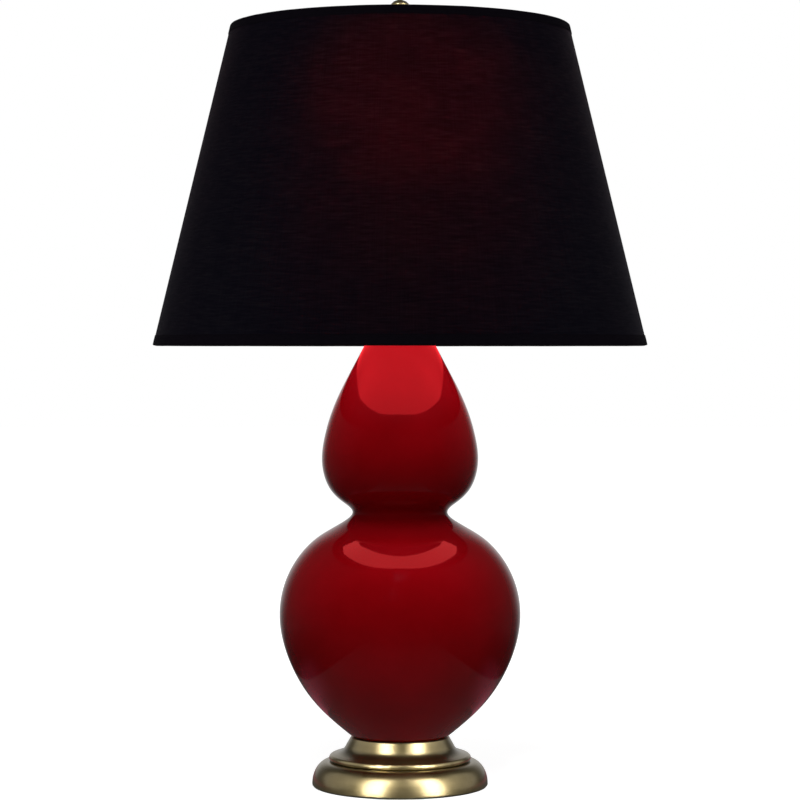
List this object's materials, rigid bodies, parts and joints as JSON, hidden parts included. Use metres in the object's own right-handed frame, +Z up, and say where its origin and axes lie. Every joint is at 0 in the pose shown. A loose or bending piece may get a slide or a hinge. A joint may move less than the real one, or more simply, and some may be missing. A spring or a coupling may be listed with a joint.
{
  "type": "table lamp",
  "caption": "Table lamp with a red glazed double gourd body on a turned antique-brass foot, harp, tapered dark fabric shade and ribbed finial.",
  "frame": {"origin": "on the table under the lamp's upright axis", "axes": "+Z up along the lamp's axis, the lamp faces -Y, the cord enters at +Y, the harp lies in XZ"},
  "size_m": [0.4927, 0.4928, 0.787],
  "materials": {
    "red_glaze": "deep oxblood red gloss glaze",
    "antique_brass": "satin antique brass",
    "bright_brass": "plain brass",
    "zinc_steel": "zinc-plated steel",
    "iron": "rough cast iron",
    "felt": "black felt",
    "rubber": "black rubber",
    "card": "fibre board",
    "phenolic": "moulded black phenolic",
    "cap_aluminium": "pressed aluminium",
    "vitrite": "black glass",
    "bulb_glass": "soft white frosted glass",
    "shade_fabric": "black woven fabric",
    "shade_lining": "red translucent film",
    "hem_tape": "black folded tape",
    "shade_wire": "plated steel wire"
  },
  "bodies": {
    "stand": {"felt_pad": "felt", "base_shell": "antique_brass", "base_weight": "iron", "cord_bushing": "antique_brass", "bottom_nut": "zinc_steel", "bottom_washer": "zinc_steel", "lamp_pipe": "zinc_steel", "foot_gasket": "rubber", "gourd_body": "red_glaze", "cap_gasket": "rubber", "neck_cap": "antique_brass", "neck_tube": "antique_brass", "harp_saddle": "antique_brass", "saddle_nut": "zinc_steel", "socket_cap": "antique_brass", "socket_set_screw": "zinc_steel", "socket_shell": "antique_brass", "socket_liner": "card", "socket_core": "phenolic", "terminal_screws": "bright_brass", "lamp_screw_shell": "bright_brass", "centre_contact": "bright_brass"},
    "switch_key": {"switch_stem": "bright_brass", "switch_knob": "phenolic"},
    "bulb": {"bulb_screw_cap": "cap_aluminium", "bulb_insulator": "vitrite", "bulb_contact": "bright_brass", "bulb_globe": "bulb_glass"},
    "harp": {"harp_bow": "antique_brass"},
    "harp_swivel": {"harp_stud": "antique_brass"},
    "ferrule_left": {"left_ferrule": "antique_brass"},
    "ferrule_right": {"right_ferrule": "antique_brass"},
    "shade": {"shade_top_ring": "shade_wire", "shade_spider": "shade_wire", "shade_bottom_ring": "shade_wire", "shade_panel": "shade_fabric", "shade_lining": "shade_lining", "top_hem": "hem_tape", "bottom_hem": "hem_tape"},
    "finial_knob": {"finial": "antique_brass"}
  },
  "joints": [
    {"name": "switch_turn", "type": "hinge", "parent": "stand", "child": "switch_key", "pos_m": [0, -0.02, 0.521], "axis": [0, -1, 0], "continuous": true},
    {"name": "bulb_turn", "type": "hinge", "parent": "stand", "child": "bulb", "pos_m": [0, 0, 0.545], "axis": [0, 0, 1], "continuous": true},
    {"name": "harp_lift", "type": "slide", "parent": "stand", "child": "harp", "axis": [0, 0, 1], "range_m": [0, 0.05]},
    {"name": "ferrule_left_lift", "type": "slide", "parent": "harp", "child": "ferrule_left", "axis": [0, 0, 1], "range_m": [0, 0.011]},
    {"name": "ferrule_right_lift", "type": "slide", "parent": "harp", "child": "ferrule_right", "axis": [0, 0, 1], "range_m": [0, 0.011]},
    {"name": "harp_swivel_turn", "type": "hinge", "parent": "harp", "child": "harp_swivel", "pos_m": [0, 0, 0.741], "axis": [0, 0, 1], "continuous": true},
    {"name": "shade_lift", "type": "slide", "parent": "harp_swivel", "child": "shade", "axis": [0, 0, 1], "range_m": [0, 0.35]},
    {"name": "finial_turn", "type": "hinge", "parent": "shade", "child": "finial_knob", "pos_m": [0, 0, 0.76], "axis": [0, 0, 1], "continuous": true}
  ]
}
